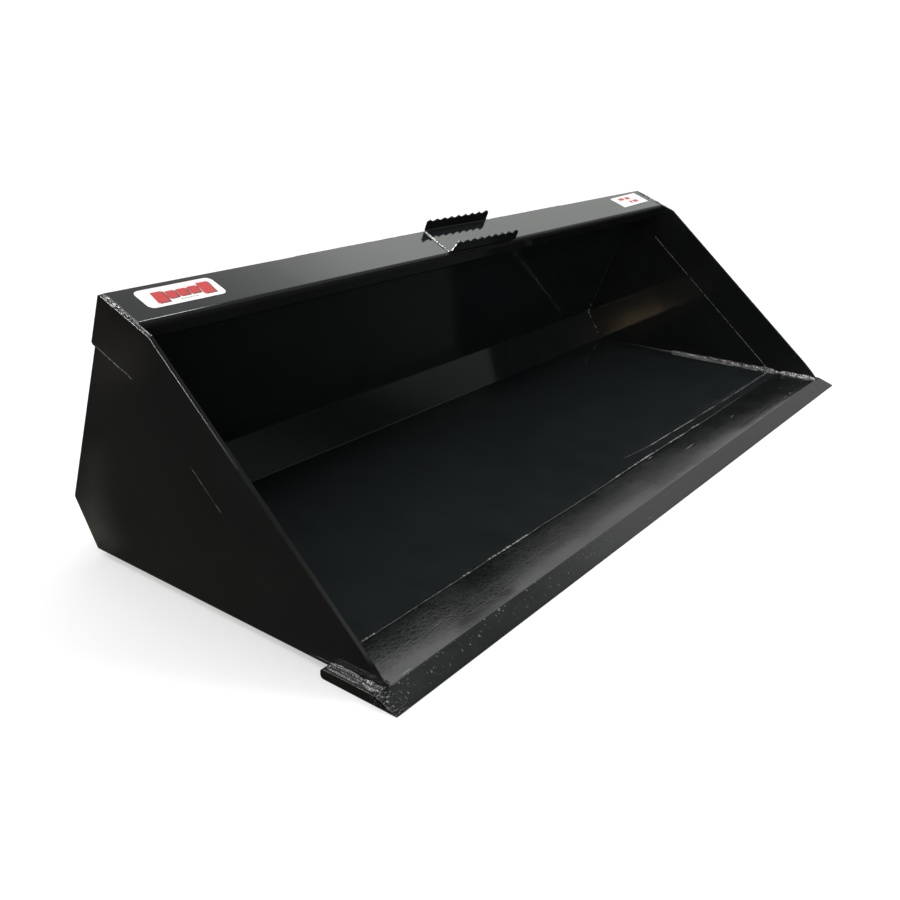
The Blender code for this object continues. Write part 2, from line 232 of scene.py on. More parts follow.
def wavy_step(tree, y_socket, at, sway, fine_sway):
    """0 in front of and 1 behind a wandering line along the bar, at metres behind the tip."""
    slow = noise_of(tree, coords(tree, (9.0, 1.0, 1.0)), 1.0, 4.0, 0.65)
    quick = noise_of(tree, coords(tree, (1.0, 0.4, 1.0)), 190.0, 3.0, 0.6)
    bent = maths(tree, "ADD", y_socket, maths(tree, "MULTIPLY", slow, sway))
    bent = maths(tree, "ADD", bent, maths(tree, "MULTIPLY", quick, fine_sway))
    edge = TIP.y + at + 0.5 * (sway + fine_sway)
    return beyond(tree, bent, edge, 1400.0)


def bar_paint():
    """Black paint over hot-rolled bar: flaking scale edges, drag lines and worn corners."""
    mat, tree, shader = new_material("bar_paint")
    here = coords(tree)
    split = tree.nodes.new("ShaderNodeSeparateXYZ")
    tree.links.new(here, split.inputs[0])
    x, y = split.outputs[0], split.outputs[1]
    scale = noise_of(tree, coords(tree, (1.0, 1.5, 1.0)), 120.0, 4.0, 0.65, 0.8)
    flake = ramp(tree, scale, [(0.40, 0.0), (0.60, 1.0)])
    patches = noise_of(tree, here, 14.0, 3.0, 0.55, 0.5)
    drag = noise_of(tree, coords(tree, (2.2, 260.0, 60.0)), 1.0, 3.0, 0.6)
    nose = beyond(tree, TIP.y + 0.0455, y, 900.0)
    west = maths(tree, "MULTIPLY", x, -1.0)
    corner = beyond(tree, west, BAR_X - 0.04, 30.0)
    pitted = beyond(tree, west, 0.25, 2.4)
    base = mix_colour(tree, ramp(tree, patches, [(0.35, 0.0), (0.7, 1.0)]),
                      (0.0042, 0.0050, 0.0050), (0.0075, 0.0086, 0.0084))
    lines = ramp(tree, drag, [(0.58, 0.0), (0.80, 0.30)])
    base = mix_colour(tree, maths(tree, "MULTIPLY", lines, nose), base, (0.055, 0.058, 0.056))
    chips = scratch_mask(tree, (0.0, 0.0, 0.35), (9.0, 190.0, 90.0), 1.0, 0.735, 0.765, 8.4)
    base = mix_colour(tree, maths(tree, "MULTIPLY", chips, 0.45), base, (0.42, 0.42, 0.41))
    grit = noise_of(tree, coords(tree, (0.5, 2.0, 1.0), (0.0, 0.0, 0.2)), 240.0, 3.0, 0.7, 0.8)
    fleck = noise_of(tree, coords(tree, (1.0, 0.42, 1.0), (0.0, 0.0, -0.3)), 210.0, 2.0, 0.6, 0.3)
    worn = maths(tree, "MULTIPLY", ramp(tree, grit, [(0.60, 0.0), (0.65, 1.0)]), corner)
    front = beyond(tree, TIP.y + 0.060, y, 40.0)
    worn = maths(tree, "MULTIPLY", worn, front)
    nick = maths(tree, "MULTIPLY", ramp(tree, fleck, [(0.655, 0.0), (0.69, 1.0)]), nose)
    band = beyond(tree, y, TIP.y + 0.008, 80.0)
    rub = maths(tree, "MULTIPLY", ramp(tree, patches, [(0.40, 0.10), (0.60, 1.0)]), nick)
    rub = maths(tree, "MULTIPLY", maths(tree, "MULTIPLY", rub, band), pitted)
    worn = maths(tree, "ADD", worn, maths(tree, "MULTIPLY", rub, 0.45), clamp=True)
    base = mix_colour(tree, worn, base, (0.40, 0.41, 0.40))
    tree.links.new(base, shader.inputs["Base Color"])
    tree.links.new(ramp(tree, patches, [(0.25, 0.10), (0.8, 0.16)]), shader.inputs["Roughness"])
    dish = maths(tree, "MAXIMUM", maths(tree, "SUBTRACT", y, TIP.y + BAR_FOLD), 0.0)
    sag = noise_of(tree, coords(tree, (1.0, 2.5, 1.0)), 2.6, 2.0, 0.5)
    normal = bump(tree, maths(tree, "MULTIPLY", dish, -1.0), BAR_DISH)
    normal = bump(tree, sag, 0.0012, under=normal)
    normal = bump(tree, patches, 0.00016, under=normal)
    normal = bump(tree, wavy_step(tree, y, 0.074, 0.012, 0.005), 0.00005, under=normal)
    normal = bump(tree, wavy_step(tree, y, 0.102, 0.020, 0.007), 0.00003, under=normal)
    rough_zone = ramp(tree, maths(tree, "MULTIPLY", dish, 10.0), [(0.22, 0.12), (0.42, 1.0)])
    flake = maths(tree, "MULTIPLY", flake, rough_zone)
    normal = bump(tree, flake, 0.00005, under=normal)
    normal = bump(tree, drag, 0.00003, under=normal)
    tree.links.new(normal, shader.inputs["Normal"])
    shader.inputs["IOR"].default_value = PAINT_IOR
    return mat


def bead_paint(name, bare_and_glint=0.55, rough=0.12, start=0.72, coarse=0.0007):
    """Paint on weld metal, bare on the ripple crests: partly worn paint, partly a painted
    highlight.
    """
    mat, tree, shader = new_material(name)
    here = coords(tree)
    crest = tree.nodes.new("ShaderNodeAttribute")
    crest.attribute_name = "crest"
    grit = noise_of(tree, here, 700.0, 3.0, 0.6)
    patch = noise_of(tree, here, 60.0, 2.0, 0.5)
    # painted highlight, partly worn paint: crests made bright bare steel in place of lamp glints
    shown = maths(tree, "MULTIPLY", crest.outputs["Fac"], maths(tree, "ADD", grit, patch))
    mask = ramp(tree, shown, [(start, 0.0), (min(start + 0.22, 1.0), 1.0)])
    mask = maths(tree, "MULTIPLY", mask, bare_and_glint)
    base = mix_colour(tree, mask, (0.006, 0.0065, 0.0068), (0.62, 0.62, 0.60))
    tree.links.new(base, shader.inputs["Base Color"])
    tree.links.new(maths(tree, "MULTIPLY", mask, 0.5), shader.inputs["Metallic"])
    roughness = maths(tree, "MULTIPLY_ADD", grit, 0.10)
    roughness.node.inputs[2].default_value = rough - 0.05
    tree.links.new(roughness, shader.inputs["Roughness"])
    spatter = noise_of(tree, here, 330.0, 2.0, 0.6, 0.5)
    normal = bump(tree, spatter, coarse)
    tree.links.new(bump(tree, grit, 0.00006, under=normal), shader.inputs["Normal"])
    shader.inputs["IOR"].default_value = PAINT_IOR
    return mat


def vinyl():
    """White printed vinyl: faint tone variation and a fine grain."""
    mat, tree, shader = new_material("label_vinyl")
    here = coords(tree)
    cloud = noise_of(tree, here, 30.0, 3.0, 0.6)
    grain = noise_of(tree, here, 1500.0, 1.0, 0.5)
    tint = mix_colour(tree, cloud, (0.83, 0.83, 0.81), (0.90, 0.90, 0.885))
    tree.links.new(tint, shader.inputs["Base Color"])
    tree.links.new(ramp(tree, cloud, [(0.3, 0.24), (0.8, 0.36)]), shader.inputs["Roughness"])
    normal = bump(tree, cloud, 0.0002)
    tree.links.new(bump(tree, grain, 0.00001, under=normal), shader.inputs["Normal"])
    return mat


def ink(name, deep, light):
    """Printed ink, slightly uneven in colour and gloss."""
    mat, tree, shader = new_material(name)
    here = coords(tree)
    cloud = noise_of(tree, here, 160.0, 3.0, 0.6)
    tree.links.new(mix_colour(tree, cloud, deep, light), shader.inputs["Base Color"])
    tree.links.new(ramp(tree, cloud, [(0.3, 0.28), (0.8, 0.42)]), shader.inputs["Roughness"])
    tree.links.new(bump(tree, cloud, 0.00003), shader.inputs["Normal"])
    shader.inputs["Specular IOR Level"].default_value = 0.25
    return mat


# The folded sheet and the side plates wear the same gloss black paint: the sheet's base is made
# lighter and the plates' darker, as painted light and shade
SHEET = painted("sheet_paint", base=(0.0106, 0.0128, 0.0136))
PLATE = painted("plate_paint", gloss=0.045, spread=0.045, wave=0.0008,
                base=(0.0070, 0.0076, 0.0080))
BEAM = painted("beam_paint", gloss=0.05, spread=0.05, wave=0.0007, dust=0.25)
REAR = painted("rear_paint", gloss=0.12, spread=0.12, mottle=0.00005)
BAR = bar_paint()
# Bead paints: their bright crests are partly a painted highlight, set per bead by its fade
BEAD = bead_paint("bead_paint")
BRIGHT_BEAD = bead_paint("bright_bead_paint", bare_and_glint=0.50, start=0.68, coarse=0.0009)
LUMPY_BEAD = bead_paint("lumpy_bead_paint", bare_and_glint=0.62, start=0.80, coarse=0.0003)
HAIRLINE = bead_paint("hairline_paint", bare_and_glint=0.45, rough=0.14, start=0.45, coarse=0.0002)
CUT = bead_paint("cut_edge_paint", bare_and_glint=0.32, start=0.75, coarse=0.00006)
VINYL = vinyl()
RED = ink("red_ink", (0.50, 0.012, 0.016), (0.62, 0.025, 0.028))
DARK = ink("dark_ink", (0.050, 0.030, 0.022), (0.10, 0.066, 0.048))
GREY = ink("grey_ink", (0.20, 0.20, 0.20), (0.32, 0.32, 0.32))


# ---------------------------------------------------------------- mesh helpers

def link(name, mesh, mat):
    """New visible piece that rides on the bucket's one body."""
    obj = bpy.data.objects.new(name, mesh)
    mesh.materials.clear()
    mesh.materials.append(mat)
    bpy.context.scene.collection.objects.link(obj)
    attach(obj, "root")
    return obj


def welded(node_name):
    """Editable copy of a CAD node's mesh with its coincident points merged."""
    bm = bmesh.new()
    bm.from_mesh(NODES[node_name].data)
    bmesh.ops.remove_doubles(bm, verts=bm.verts, dist=2e-6)
    return bm


def refined(node_name, mat, width, segments=3, crease=28.0):
    """The CAD node's shape with its facets merged, its cut edges eased and its folds smooth."""
    bm = welded(node_name)
    bmesh.ops.dissolve_limit(bm, angle_limit=math.radians(0.3), verts=bm.verts, edges=bm.edges)
    bmesh.ops.recalc_face_normals(bm, faces=bm.faces)
    mesh = bpy.data.meshes.new(node_name + "_finish")
    bm.to_mesh(mesh)
    bm.free()
    mesh.polygons.foreach_set("use_smooth", [True] * len(mesh.polygons))
    obj = link(node_name + "_finish", mesh, mat)
    ease = obj.modifiers.new("eased_edges", "BEVEL")
    ease.width = width * MM
    ease.segments = segments
    ease.limit_method = "ANGLE"
    ease.angle_limit = math.radians(crease)
    ease.use_clamp_overlap = True
    even = obj.modifiers.new("even_normals", "WEIGHTED_NORMAL")
    even.weight = 80
    even.keep_sharp = True
    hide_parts(node_name)
    return obj


class Bag:
    """Vertices, faces and a crest value per vertex, for beads that share one mesh."""

    def __init__(self):
        self.verts, self.faces, self.crest = [], [], []

    def finish(self, name, mat):
        mesh = bpy.data.meshes.new(name)
        mesh.from_pydata(self.verts, [], self.faces)
        crest = mesh.attributes.new("crest", "FLOAT", "POINT")
        crest.data.foreach_set("value", self.crest)
        bm = bmesh.new()
        bm.from_mesh(mesh)
        bmesh.ops.recalc_face_normals(bm, faces=bm.faces)
        bm.to_mesh(mesh)
        bm.free()
        mesh.polygons.foreach_set("use_smooth", [True] * len(mesh.polygons))
        return link(name, mesh, mat)


def lerp_list(items, where):
    """Item at a fractional index."""
    i = min(int(where), len(items) - 2)
    return items[i].lerp(items[i + 1], where - i)


def bead(bag, line, toe_a, toe_b, crown, pitch=4.2, seed=1, depth=0.4, wobble=0.18,
         fade=(1.0, 1.0), samples=5, across=8):
    """Rippled weld bead along a polyline.

    toe_a and toe_b run from the joint line to the bead's two feet and crown to the bulge's
    control point; each is one vector or a list with one vector per point of the line. pitch is
    the ripples' spacing in millimetres, depth and wobble are shares of the bead's own size, and
    fade is how bright its crests are at the two ends: bare steel, partly worn paint and partly
    a painted highlight.
    """
    rng = random.Random(seed)
    many = len(line)
    lists = [v if isinstance(v, list) else [v] * many for v in (toe_a, toe_b, crown)]
    reach = [0.0]
    for a, b in zip(line, line[1:]):
        reach.append(reach[-1] + (b - a).length)
    total = reach[-1]
    step = pitch * MM / samples
    rings = max(4, int(total / step))
    ripples = int(total / (pitch * MM)) + 6
    size = [rng.uniform(0.72, 1.18) for _ in range(ripples)]
    jitter = [rng.uniform(-0.22, 0.22) for _ in range(ripples)]
    shine = [rng.uniform(0.35, 1.25) for _ in range(ripples)]
    first = len(bag.verts)
    ring_len = across + 2
    seg = 0
    for r in range(rings + 1):
        s = total * r / rings
        while seg < many - 2 and s > reach[seg + 1]:
            seg += 1
        where = seg + (s - reach[seg]) / max(reach[seg + 1] - reach[seg], 1e-9)
        spot = lerp_list(line, where)
        a, b, top = (lerp_list(v, where) for v in lists)
        end = min(s, total - s) / (1.6 * (a.length + b.length) + 1e-9)
        taper = 0.25 + 0.75 * math.sin(min(1.0, end) * math.pi / 2.0)
        slow = noise.noise((s * 60.0, seed * 7.3, 0.0)) * wobble
        glow = fade[0] + (fade[1] - fade[0]) * s / total
        for k in range(across + 1):
            t = k / across
            bow = (2.0 * t - 1.0) ** 2
            phase = s / (pitch * MM) + 0.8 * bow + 1.0
            i = min(int(phase), ripples - 2)
            f = phase - int(phase)
            f = min(max(f + jitter[i] * f * (1.0 - f), 0.0), 1.0)
            lobe = math.sin(math.pi * f) ** 0.55
            swell = (1.0 - depth * (1.0 - lobe)) * (0.8 + 0.2 * size[i])
            foot_a = a * (1.0 + slow + 0.10 * (size[i] - 1.0))
            foot_b = b * (1.0 - slow + 0.10 * (size[i] - 1.0))
            knot = top * swell
            point = foot_a * (1 - t) ** 2 + knot * 2 * t * (1 - t) + foot_b * t ** 2
            bag.verts.append(spot + point * taper)
            # crest value: how bright the bead shows here, partly a painted highlight
            bag.crest.append(lobe * (1.0 - bow) * shine[i] * glow)
        bag.verts.append(spot - top * 0.12 * taper)
        bag.crest.append(0.0)
    for r in range(rings):
        here = first + r * ring_len
        for k in range(ring_len):
            j = (k + 1) % ring_len
            bag.faces.append((here + k, here + j, here + ring_len + j, here + ring_len + k))
    bag.faces.append(tuple(range(first, first + ring_len))[::-1])
    last = first + rings * ring_len
    bag.faces.append(tuple(range(last, last + ring_len)))


def line_points(a, b, step=0.05):
    count = max(2, int((b - a).length / step) + 1)
    return [a.lerp(b, i / (count - 1)) for i in range(count)]


def outline(node_name):
    """Closed (y, z) outline of a swept node, in order, from its end cap."""
    bm = welded(node_name)
    low = min(v.co.x for v in bm.verts)
    cap = [f for f in bm.faces if all(abs(v.co.x - low) < 1e-5 for v in f.verts)]
    inside = set(cap)
    after = {}
    for f in cap:
        for loop in f.loops:
            if sum(g in inside for g in loop.edge.link_faces) == 1:
                after[loop.vert.index] = loop.link_loop_next.vert.index
    start = min(after)
    order = [start]
    while after[order[-1]] != start:
        order.append(after[order[-1]])
    bm.verts.ensure_lookup_table()
    pts = [(bm.verts[i].co.y, bm.verts[i].co.z) for i in order]
    bm.free()
    return pts


def stretch_of(loop, start, end, via):
    """Part of a closed outline from the point nearest start to the one nearest end, past via."""
    def nearest(p):
        away = [(y - p.y) ** 2 + (z - p.z) ** 2 for y, z in loop]
        return away.index(min(away))

    i, j, k = nearest(start), nearest(end), nearest(via)
    many = len(loop)
    ahead = (j - i) % many
    if (k - i) % many <= ahead:
        picked = [(i + n) % many for n in range(ahead + 1)]
    else:
        picked = [(i - n) % many for n in range((i - j) % many + 1)]
    return [Vector((0.0, *loop[n])) for n in picked]


def at_x(points, x):
    return [Vector((x, p.y, p.z)) for p in points]


def normals_of(points, sign):
    """In-profile normals along a (y, z) polyline; sign picks the side."""
    found = []
    for i in range(len(points)):
        a, b = points[max(i - 1, 0)], points[min(i + 1, len(points) - 1)]
        t = (b - a).normalized()
        found.append(Vector((0.0, -t.z, t.y)) * sign)
    return found


def resampled(points, step):
    """Polyline with extra points, no further apart than step."""
    made = [points[0]]
    for a, b in zip(points, points[1:]):
        count = max(1, int(math.ceil((b - a).length / step)))
        made.extend(a.lerp(b, i / count) for i in range(1, count + 1))
    return made


# ---------------------------------------------------------------- steelwork

def steelwork():
    """Every CAD node but the labels, with its edges eased and painted."""
    refined("shell", SHEET, 0.8)
    refined("top_beam", BEAM, 0.8)
    refined("beam_rear_bar", REAR, 1.0)
    for side in ("left", "right"):
        refined("side_sheet_" + side, PLATE, 0.5)
        refined("side_cutter_" + side, PLATE, 0.9)
        refined("mount_ear_" + side, REAR, 0.9)
    refined("cutting_edge", BAR, 0.6, crease=14.0)
    refined("step_tread", BEAM, 0.45)
    refined("mount_plate", REAR, 1.0)
    refined("mount_upper_hook", REAR, 1.2)
    refined("mount_lower_lip", REAR, 1.2)
    for i in (1, 2, 3, 4):
        refined("lip_gusset_%d" % i, REAR, 0.9)
        refined("wear_strip_%d" % i, BAR, 1.2)


HEAD_CORNER = nv(-139.8, 482.0)
CUT_ALONG = Vector((0.0, math.cos(math.radians(41.4)), math.sin(math.radians(41.4))))
CUT_DOWN = Vector((0.0, CUT_ALONG.z, -CUT_ALONG.y))          # off the front edge, into the plate


def seam_line():
    """Bend, foot and rear end of the joint between side cutter and side sheet."""
    start = HEAD_CORNER + CUT_DOWN * (107.0 * MM)
    rear = nv(0.0, REAR_BAR_FOOT)
    lean = OUTWARD
    cross = CUT_ALONG.y * lean.z - CUT_ALONG.z * lean.y
    gap = rear - start
    bend = start + CUT_ALONG * ((gap.y * lean.z - gap.z * lean.y) / cross)
    foot = start + CUT_ALONG * ((TIP.z + 19.2 * MM - start.z) / CUT_ALONG.z)
    return bend, foot, rear


def beads_bowl():
    """Fillets inside the bowl, between the side plates and the folded sheet."""
    loop = outline("shell")
    front = yz(168.3, 19.05)
    knee = yz(845.0, 40.0)
    top = nv(-6.35, 474.0)
    inner = stretch_of(loop, front, top, knee)
    up = inner[0].y < inner[-1].y
    for side, word in SIDES:
        bag = Bag()
        path = resampled(inner, 0.03)
        normal = normals_of(path, 1.0 if up else -1.0)
        x = side * SHELL_X
        across = X_AXIS * -side
        floor_end = next(i for i, p in enumerate(path) if p.y > yz(820, 0).y)
        mid = next(i for i, p in enumerate(path) if p.y > yz(535, 0).y)
        knee_end = next(i for i, p in enumerate(path) if p.z > TIP.z + 0.118)
        # glow is a painted highlight: crests bright on the front half of the floor and round the
        # knee, dull elsewhere
        for first, last, grow, glow in ((0, mid, 0.8, (1.2, 0.7)),
                                        (mid, floor_end, 0.35, (0.1, 0.0))):
            part, tilt = path[first: last + 1], normal[first: last + 1]
            bead(bag, at_x(part, x), [n * 10.5 * grow * MM for n in tilt],
                 across * 8.0 * grow * MM, [(n * 6.8 + across * 5.2) * grow * MM for n in tilt],
                 pitch=3.6, seed=11 + int(side) + first, fade=glow, depth=0.8, wobble=0.5)
            bead(bag, [p + across * 6.0 * grow * MM for p in at_x(part, x)],
                 [(n * 2.2 - across * 2.0) * grow * MM for n in tilt], across * 8.0 * grow * MM,
                 [(n * 4.0 + across * 2.6) * grow * MM for n in tilt],
                 pitch=3.3, seed=15 + int(side) + first, fade=glow, depth=0.8, wobble=0.5)
        # painted highlight strength on the crests, as above
        for first, last, grow, glow in ((floor_end, knee_end, 1.2, (0.9, 1.3)),
                                        (knee_end, len(path) - 1, 1.0, (0.15, 0.05))):
            part, tilt = path[first: last + 1], normal[first: last + 1]
            bead(bag, at_x(part, x), [n * 4.0 * grow * MM for n in tilt],
                 across * 4.2 * grow * MM, [(n * 2.6 + across * 2.8) * grow * MM for n in tilt],
                 pitch=5.5, seed=21 + int(side) + first, fade=glow, samples=4, depth=0.6,
                 wobble=0.3)
        bag.finish("weld_bowl_" + word, BEAD)


def beads_nose():
    """Heavy fillets between the side cutters and the cutting edge, inside and outside."""
    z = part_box("cutting_edge")[1].z / MM
    up = Vector((0.0, 0.0, 1.0))
    for side, word in SIDES:
        bag = Bag()
        out = X_AXIS * side
        seed = 30 + int(side) * 7
        rear, mid = yz(163.0, z, side * PLATE_X), yz(88.0, z, side * PLATE_X)
        nose = yz(43.0, z, side * PLATE_X)
        # the fade values paint the crests bright, a painted highlight
        for shift, lift, reach, climb in ((0.0, 6.5, 7.0, 5.0), (5.5, 2.6, 6.0, 3.6),
                                          (10.5, 1.8, 5.5, 3.0)):
            start, end = rear + out * shift * MM, mid + out * (shift + 0.5) * MM
            bead(bag, line_points(start, end, 0.02), (up * lift - out * 0.2 * shift) * MM,
                 out * reach * MM, (up * climb + out * 0.55 * reach) * MM, pitch=3.3,
                 seed=seed + int(shift), depth=0.75, wobble=0.22, fade=(0.75, 0.75))
        for shift, lift, reach, climb in ((0.0, 8.5, 10.0, 7.5), (7.5, 3.2, 9.0, 5.4)):
            start, end = mid + out * shift * MM, nose + out * shift * MM
            bead(bag, line_points(start, end, 0.02), (up * lift - out * 0.2 * shift) * MM,
                 out * reach * MM, (up * climb + out * 0.6 * reach) * MM, pitch=4.4,
                 seed=seed + 20 + int(shift), depth=0.8, wobble=0.5, fade=(0.9, 0.8))
        a, b = yz(45.5, z, side * (PLATE_X + 2.0 * MM)), yz(45.5, z, side * (INNER_X - 2.0 * MM))
        bead(bag, line_points(a, b, 0.005), up * 10.0 * MM, Vector((0.0, -7.5 * MM, 0.0)),
             up * 7.0 * MM + Vector((0.0, -7.5 * MM, 0.0)), pitch=5.0, seed=seed + 31,
             depth=0.4, wobble=0.2, fade=(0.7, 0.5))
        a, b = yz(164.0, z, side * INNER_X), yz(44.0, z, side * INNER_X)
        for shift, lift, reach, climb in ((0.0, 8.5, 7.0, 6.0), (6.0, 2.6, 8.0, 4.0)):
            start, end = a - out * shift * MM, b - out * shift * MM
            bead(bag, line_points(start, end, 0.02), (up * lift + out * 0.2 * shift) * MM,
                 out * -reach * MM, (up * climb - out * 0.6 * reach) * MM, pitch=4.6,
                 seed=seed + 41 + int(shift), depth=0.65, wobble=0.3, fade=(1.2, 1.4))
        bag.finish("weld_nose_" + word, BRIGHT_BEAD)


def beads_beam():
    """Beads over the ends of the top beam and down the ends of its front lip."""
    for side, word in SIDES:
        bag = Bag()
        out = X_AXIS * side
        x = side * SHELL_X
        a, b = nv(7.0, 481.6, x), nv(BEAM_FRONT + 3.0, 481.2, x)
        path = line_points(a, b, 0.01)
        # fade values: crests painted bright as a painted highlight, brightest on the outer bead
        bead(bag, path, out * 9.3 * MM, out * -3.6 * MM, (UPWARD * 7.0 + out * 3.0) * MM,
             pitch=11.0, seed=51 + int(side), depth=0.95, wobble=0.6, fade=(1.2, 1.2), samples=12,
             across=12)
        bead(bag, path, out * 3.0 * MM, out * -5.0 * MM, UPWARD * 3.4 * MM, pitch=3.4,
             seed=57 + int(side), depth=0.6, wobble=0.4, fade=(0.5, 0.5))
        a, b = nv(BEAM_FRONT, 470.0, x), nv(BEAM_FRONT, 444.0, x)
        bead(bag, line_points(a, b, 0.01), OUTWARD * -4.0 * MM, out * -4.0 * MM,
             (OUTWARD * -2.8 - out * 2.8) * MM, pitch=4.5, seed=54 + int(side), fade=(0.6, 0.4))
        bag.finish("weld_beam_" + word, LUMPY_BEAD)


def beads_seams():
    """Ground flush beads where the side cutters meet the side sheets."""
    bend, foot, rear = seam_line()
    # third number of each span: painted highlight on the crests, brightest part way down the
    # outer seam
    outer = [(0.0, 0.32, 0.15), (0.333, 0.50, 1.6), (0.82, 0.985, 0.4)]
    inner = [(0.0, 0.5, 1.2), (0.5, 1.0, 1.4)]
    for side, word in SIDES:
        bag = Bag()
        for face, flip, parts, half in ((PLATE_X, 1.0, outer, 0.9), (INNER_X, -1.0, inner, 1.3)):
            x = side * face
            out = X_AXIS * side * flip
            seed = 61 + int(side * flip)
            if flip > 0.0:
                head = at_x(resampled([rear, bend], 0.02), x)
                bead(bag, head, UPWARD * 1.9 * MM, UPWARD * -1.9 * MM, out * 1.4 * MM, pitch=3.0,
                     seed=seed, depth=0.5, wobble=0.4, fade=(0.7, 0.9), samples=4, across=5)
            for low, high, glow in parts:
                fall = at_x(resampled([bend.lerp(foot, low), bend.lerp(foot, high)], 0.03), x)
                bead(bag, fall, CUT_DOWN * -half * MM, CUT_DOWN * half * MM, out * 0.7 * MM,
                     pitch=3.0, seed=seed + int(low * 20), depth=0.25, wobble=0.15,
                     fade=(glow, glow), samples=4, across=5)
        bag.finish("weld_side_seam_" + word, HAIRLINE)


def beads_floor_seam():
    """Floor seam on the cutting edge, above and below, and a thin line behind its right half."""
    bag = Bag()
    reach = SHELL_X - 4.0 * MM
    y_dir = Vector((0.0, 1.0, 0.0))
    up = Vector((0.0, 0.0, 1.0))
    rng = random.Random(77)
    x = -reach
    sway = 0.0
    while x < reach - 0.02:
        end = min(x + rng.uniform(0.04, 0.13), reach)
        # painted highlight: crests bright in patches on the left, dull past x = 0.48
        glow = rng.choice((0.3, 0.7, 1.2, 1.5)) if x < 0.48 else 0.1
        turn = rng.uniform(-1.6, 1.6)
        a, b = yz(BAR_REAR + sway, BAR_TOP, x), yz(BAR_REAR + turn, BAR_TOP, end)
        bead(bag, line_points(a, b, 0.02), y_dir * 5.6 * MM, y_dir * -2.2 * MM, up * 1.6 * MM,
             pitch=3.6, seed=rng.randrange(9999), depth=0.45, wobble=0.3, fade=(glow, glow),
             samples=4, across=6)
        sway = turn
        x = end - 0.002
    x, sway = 0.060, 44.0
    while x < reach - 0.02:
        end = min(x + rng.uniform(0.05, 0.12), reach)
        aim = 28.0 + rng.uniform(-2.5, 2.5)
        turn = sway + (aim - sway) * 0.45
        # painted highlight on the crests of the thin line
        glow = rng.choice((0.8, 1.3, 1.6))
        a, b = yz(BAR_REAR + sway, BAR_TOP, x), yz(BAR_REAR + turn, BAR_TOP, end)
        bead(bag, line_points(a, b, 0.02), y_dir * 2.4 * MM, y_dir * -2.4 * MM, up * 1.3 * MM,
             pitch=3.0, seed=rng.randrange(9999), depth=0.4, wobble=0.4, fade=(glow, glow),
             samples=4, across=5)
        sway = turn
        x = end - 0.002
    low = [yz(168.2, 12.75, -reach), yz(168.2, 12.75, reach)]
    bead(bag, resampled(low, 0.05), y_dir * 5.0 * MM, y_dir * -5.0 * MM + up * -2.0 * MM,
         up * -3.4 * MM, pitch=6.0, seed=79, samples=4, across=5, fade=(0.3, 0.3))
    bag.finish("weld_floor_seam", BEAD)


def beads_step():
    """Beads along the two ends of the boarding step's base."""
    bag = Bag()
    turn = Matrix.Rotation(math.radians(-1.0), 3, UPWARD)
    centre = nv(-45.5, 482.1, STEP_X)
    for side, front, rear in ((-1.0, -0.1472, -0.1254), (1.0, 0.1325, 0.1368)):
        ends = []
        for across in (-0.050, 0.055):
            f = (across + 0.058) / 0.116
            local = X_AXIS * (front + (rear - front) * f) + OUTWARD * across
            ends.append(centre + turn @ local)
        out = turn @ (X_AXIS * side)
        # fade 1.7: crests painted bright, a painted highlight
        bead(bag, line_points(ends[0], ends[1], 0.01), UPWARD * 3.2 * MM, out * 6.0 * MM,
             (UPWARD * 3.0 + out * 3.4) * MM, pitch=4.6, seed=91 + int(side), depth=0.3,
             wobble=0.2, fade=(1.7, 1.7))
    bag.finish("weld_step", BRIGHT_BEAD)


def beads_rear():
    """Fillets round the quick-attach receiver, the rear bar and the outer back corners."""
    bag = Bag()
    # dull: crests only faintly painted bright, a weak painted highlight
    dull = (0.3, 0.3)
    for side in (-1.0, 1.0):
        out = X_AXIS * side
        ear = side * (MOUNT_X + 10.0 * MM)
        a, b = nv(0.3, 30.0, ear), nv(0.3, 370.0, ear)
        bead(bag, line_points(a, b), OUTWARD * 6.0 * MM, out * 6.5 * MM,
             (OUTWARD * 4.5 + out * 4.8) * MM, pitch=6.0, seed=101 + int(side), samples=4,
             across=6, fade=dull)
        a, b = nv(0.0, 8.0, side * SHELL_X), nv(0.0, 368.0, side * SHELL_X)
        bead(bag, line_points(a, b), out * 4.0 * MM, out * -4.0 * MM, OUTWARD * 2.4 * MM,
             pitch=6.0, seed=104 + int(side), samples=4, across=5, fade=dull)
    for a, b, seed in ((-SHELL_X, -MOUNT_X - 0.01, 111), (MOUNT_X + 0.01, SHELL_X, 112)):
        path = [nv(0.3, REAR_BAR_FOOT, a), nv(0.3, REAR_BAR_FOOT, b)]
        bead(bag, resampled(path, 0.05), OUTWARD * 7.0 * MM, UPWARD * -7.0 * MM,
             (OUTWARD * 5.0 - UPWARD * 5.0) * MM, pitch=6.0, seed=seed, samples=4, across=6,
             fade=dull)
    width = MOUNT_X - 4.0 * MM
    for v, n, foot, crown, seed in (
        (478.0, 12.2, UPWARD * 2.2 * MM, (UPWARD * 1.6 + OUTWARD * 3.0) * MM, 121),
        (10.2, 12.0, UPWARD * 6.0 * MM, (UPWARD * 4.6 + OUTWARD * 4.2) * MM, 122),
    ):
        path = [nv(n, v, -width), nv(n, v, width)]
        bead(bag, resampled(path, 0.05), foot, OUTWARD * 6.0 * MM, crown, pitch=6.5, seed=seed,
             samples=4, across=6, fade=dull)
    bag.finish("weld_rear", BEAD)


# ---------------------------------------------------------------- flame-cut edges

